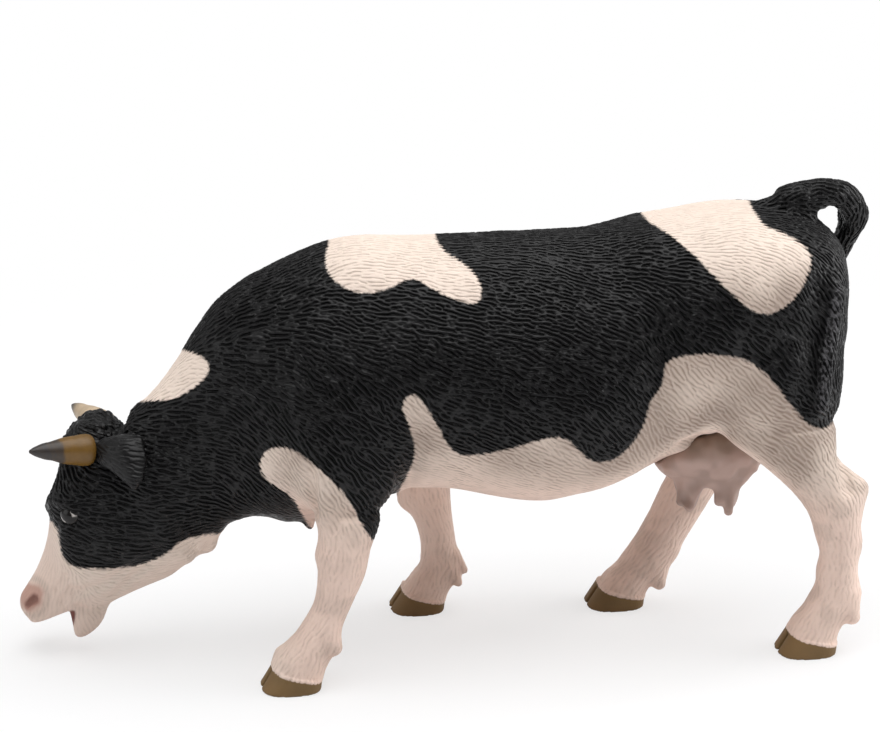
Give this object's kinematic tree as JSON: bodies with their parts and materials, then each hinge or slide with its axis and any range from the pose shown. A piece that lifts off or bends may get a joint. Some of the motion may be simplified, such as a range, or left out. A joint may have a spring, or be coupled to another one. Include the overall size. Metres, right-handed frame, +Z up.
{
  "type": "cow figurine",
  "caption": "Free-standing figurine of a grazing dairy cow with black and white patches, lowered head, forward horns and a raised tail, in painted solid vinyl.",
  "frame": {"origin": "on the ground, under the middle of the figure's bounding box", "axes": "+Z up, +X from head to tail, +Y to the cow's right side"},
  "size_m": [0.1422, 0.045, 0.0775],
  "materials": {
    "coat_black": "satin black paint over combed fur relief, with cream patches",
    "coat_white": "matte pinkish cream paint with a thin brown wash in the fur grooves, olive brown hooves",
    "horn": "ochre base fading to a grey tip",
    "udder_skin": "smooth mauve brown paint"
  },
  "bodies": {
    "root": {"torso": "coat_black", "head": "coat_black", "horn_left": "horn", "horn_right": "horn", "ear_left": "coat_black", "ear_right": "coat_black", "tail": "coat_black", "udder": "udder_skin", "leg_fore_left": "coat_white", "leg_fore_right": "coat_white", "leg_hind_left": "coat_white", "leg_hind_right": "coat_white"}
  },
  "joints": []
}
